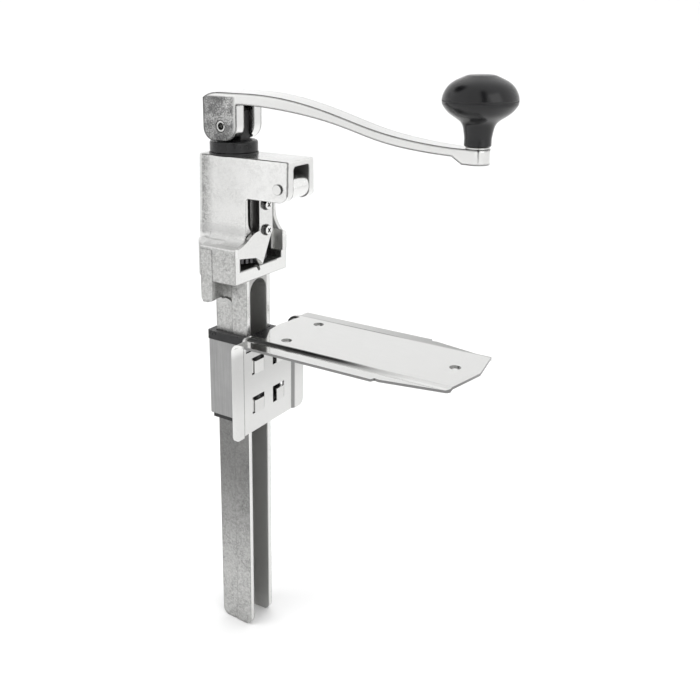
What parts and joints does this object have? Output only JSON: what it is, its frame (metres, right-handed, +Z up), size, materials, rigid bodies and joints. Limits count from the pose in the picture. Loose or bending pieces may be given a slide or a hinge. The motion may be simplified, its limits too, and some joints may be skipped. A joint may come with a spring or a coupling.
{
  "type": "manual can opener",
  "caption": "Table-mounted crank can opener: channel bar with knife, drive gear and guide roller, sliding in a sleeve on a bent plate; cranked by an S-shaped lever with a knob.",
  "frame": {"origin": "midway between the two screw holes next to the bar, on the underside of the tray's raised centre", "axes": "+X out along the tray over the table, +Z up along the bar, +Y across the tray"},
  "size_m": [0.2492, 0.094, 0.4705],
  "materials": {
    "cast_plate": "bright plated casting, fine grain",
    "handle_chrome": "chrome plated casting",
    "polished_sheet": "polished stainless sheet",
    "brushed_sheet": "brushed stainless strap",
    "knife_steel": "ground tool steel",
    "gear_steel": "hardened steel",
    "roller_steel": "turned steel",
    "fastener_steel": "zinc-plated steel",
    "black_oxide": "black oxide steel",
    "bronze": "sintered bronze",
    "black_nylon": "satin nylon",
    "knob_black": "moulded gloss"
  },
  "bodies": {
    "base": {"base_plate": "polished_sheet", "sleeve": "brushed_sheet", "liner": "black_nylon"},
    "frame": {"frame_casting": "cast_plate", "knife": "knife_steel", "knife_screws": "fastener_steel", "knife_washers": "fastener_steel", "roller_pin": "fastener_steel", "thrust_washer": "black_nylon", "lower_bushing": "bronze"},
    "roller": {"guide_roller": "roller_steel"},
    "collar": {"collar": "black_nylon"},
    "crank": {"arbor": "black_oxide", "drive_gear": "gear_steel", "gear_washer": "fastener_steel", "gear_screw": "fastener_steel", "pivot_pin": "fastener_steel"},
    "handle": {"handle_arm": "handle_chrome", "knob_spindle": "fastener_steel", "knob_washer": "fastener_steel"},
    "knob": {"knob": "knob_black", "knob_insert": "bronze"}
  },
  "joints": [
    {"name": "bar_slide", "type": "slide", "parent": "base", "child": "frame", "axis": [0, 0, 1], "range_m": [-0.025, 0.16]},
    {"name": "roller_spin", "type": "hinge", "parent": "frame", "child": "roller", "pos_m": [-0.0105, 0, 0.1137], "axis": [0, 1, 0], "continuous": true},
    {"name": "crank_spin", "type": "hinge", "parent": "frame", "child": "collar", "pos_m": [-0.064, 0, 0.134], "axis": [0, 0, 1], "continuous": true},
    {"name": "arbor_lift", "type": "slide", "parent": "collar", "child": "crank", "axis": [0, 0, 1], "range_m": [0, 0.006]},
    {"name": "handle_tilt", "type": "hinge", "parent": "crank", "child": "handle", "pos_m": [-0.064, 0, 0.1553], "axis": [0, -1, 0], "range_deg": [0, 55]},
    {"name": "knob_spin", "type": "hinge", "parent": "handle", "child": "knob", "pos_m": [0.1324, 0, 0.16], "axis": [0, 0, 1], "continuous": true}
  ],
  "couplings": [
    {"joint": "arbor_lift", "follows": "handle_tilt", "m_per_rad": 0.0062}
  ]
}
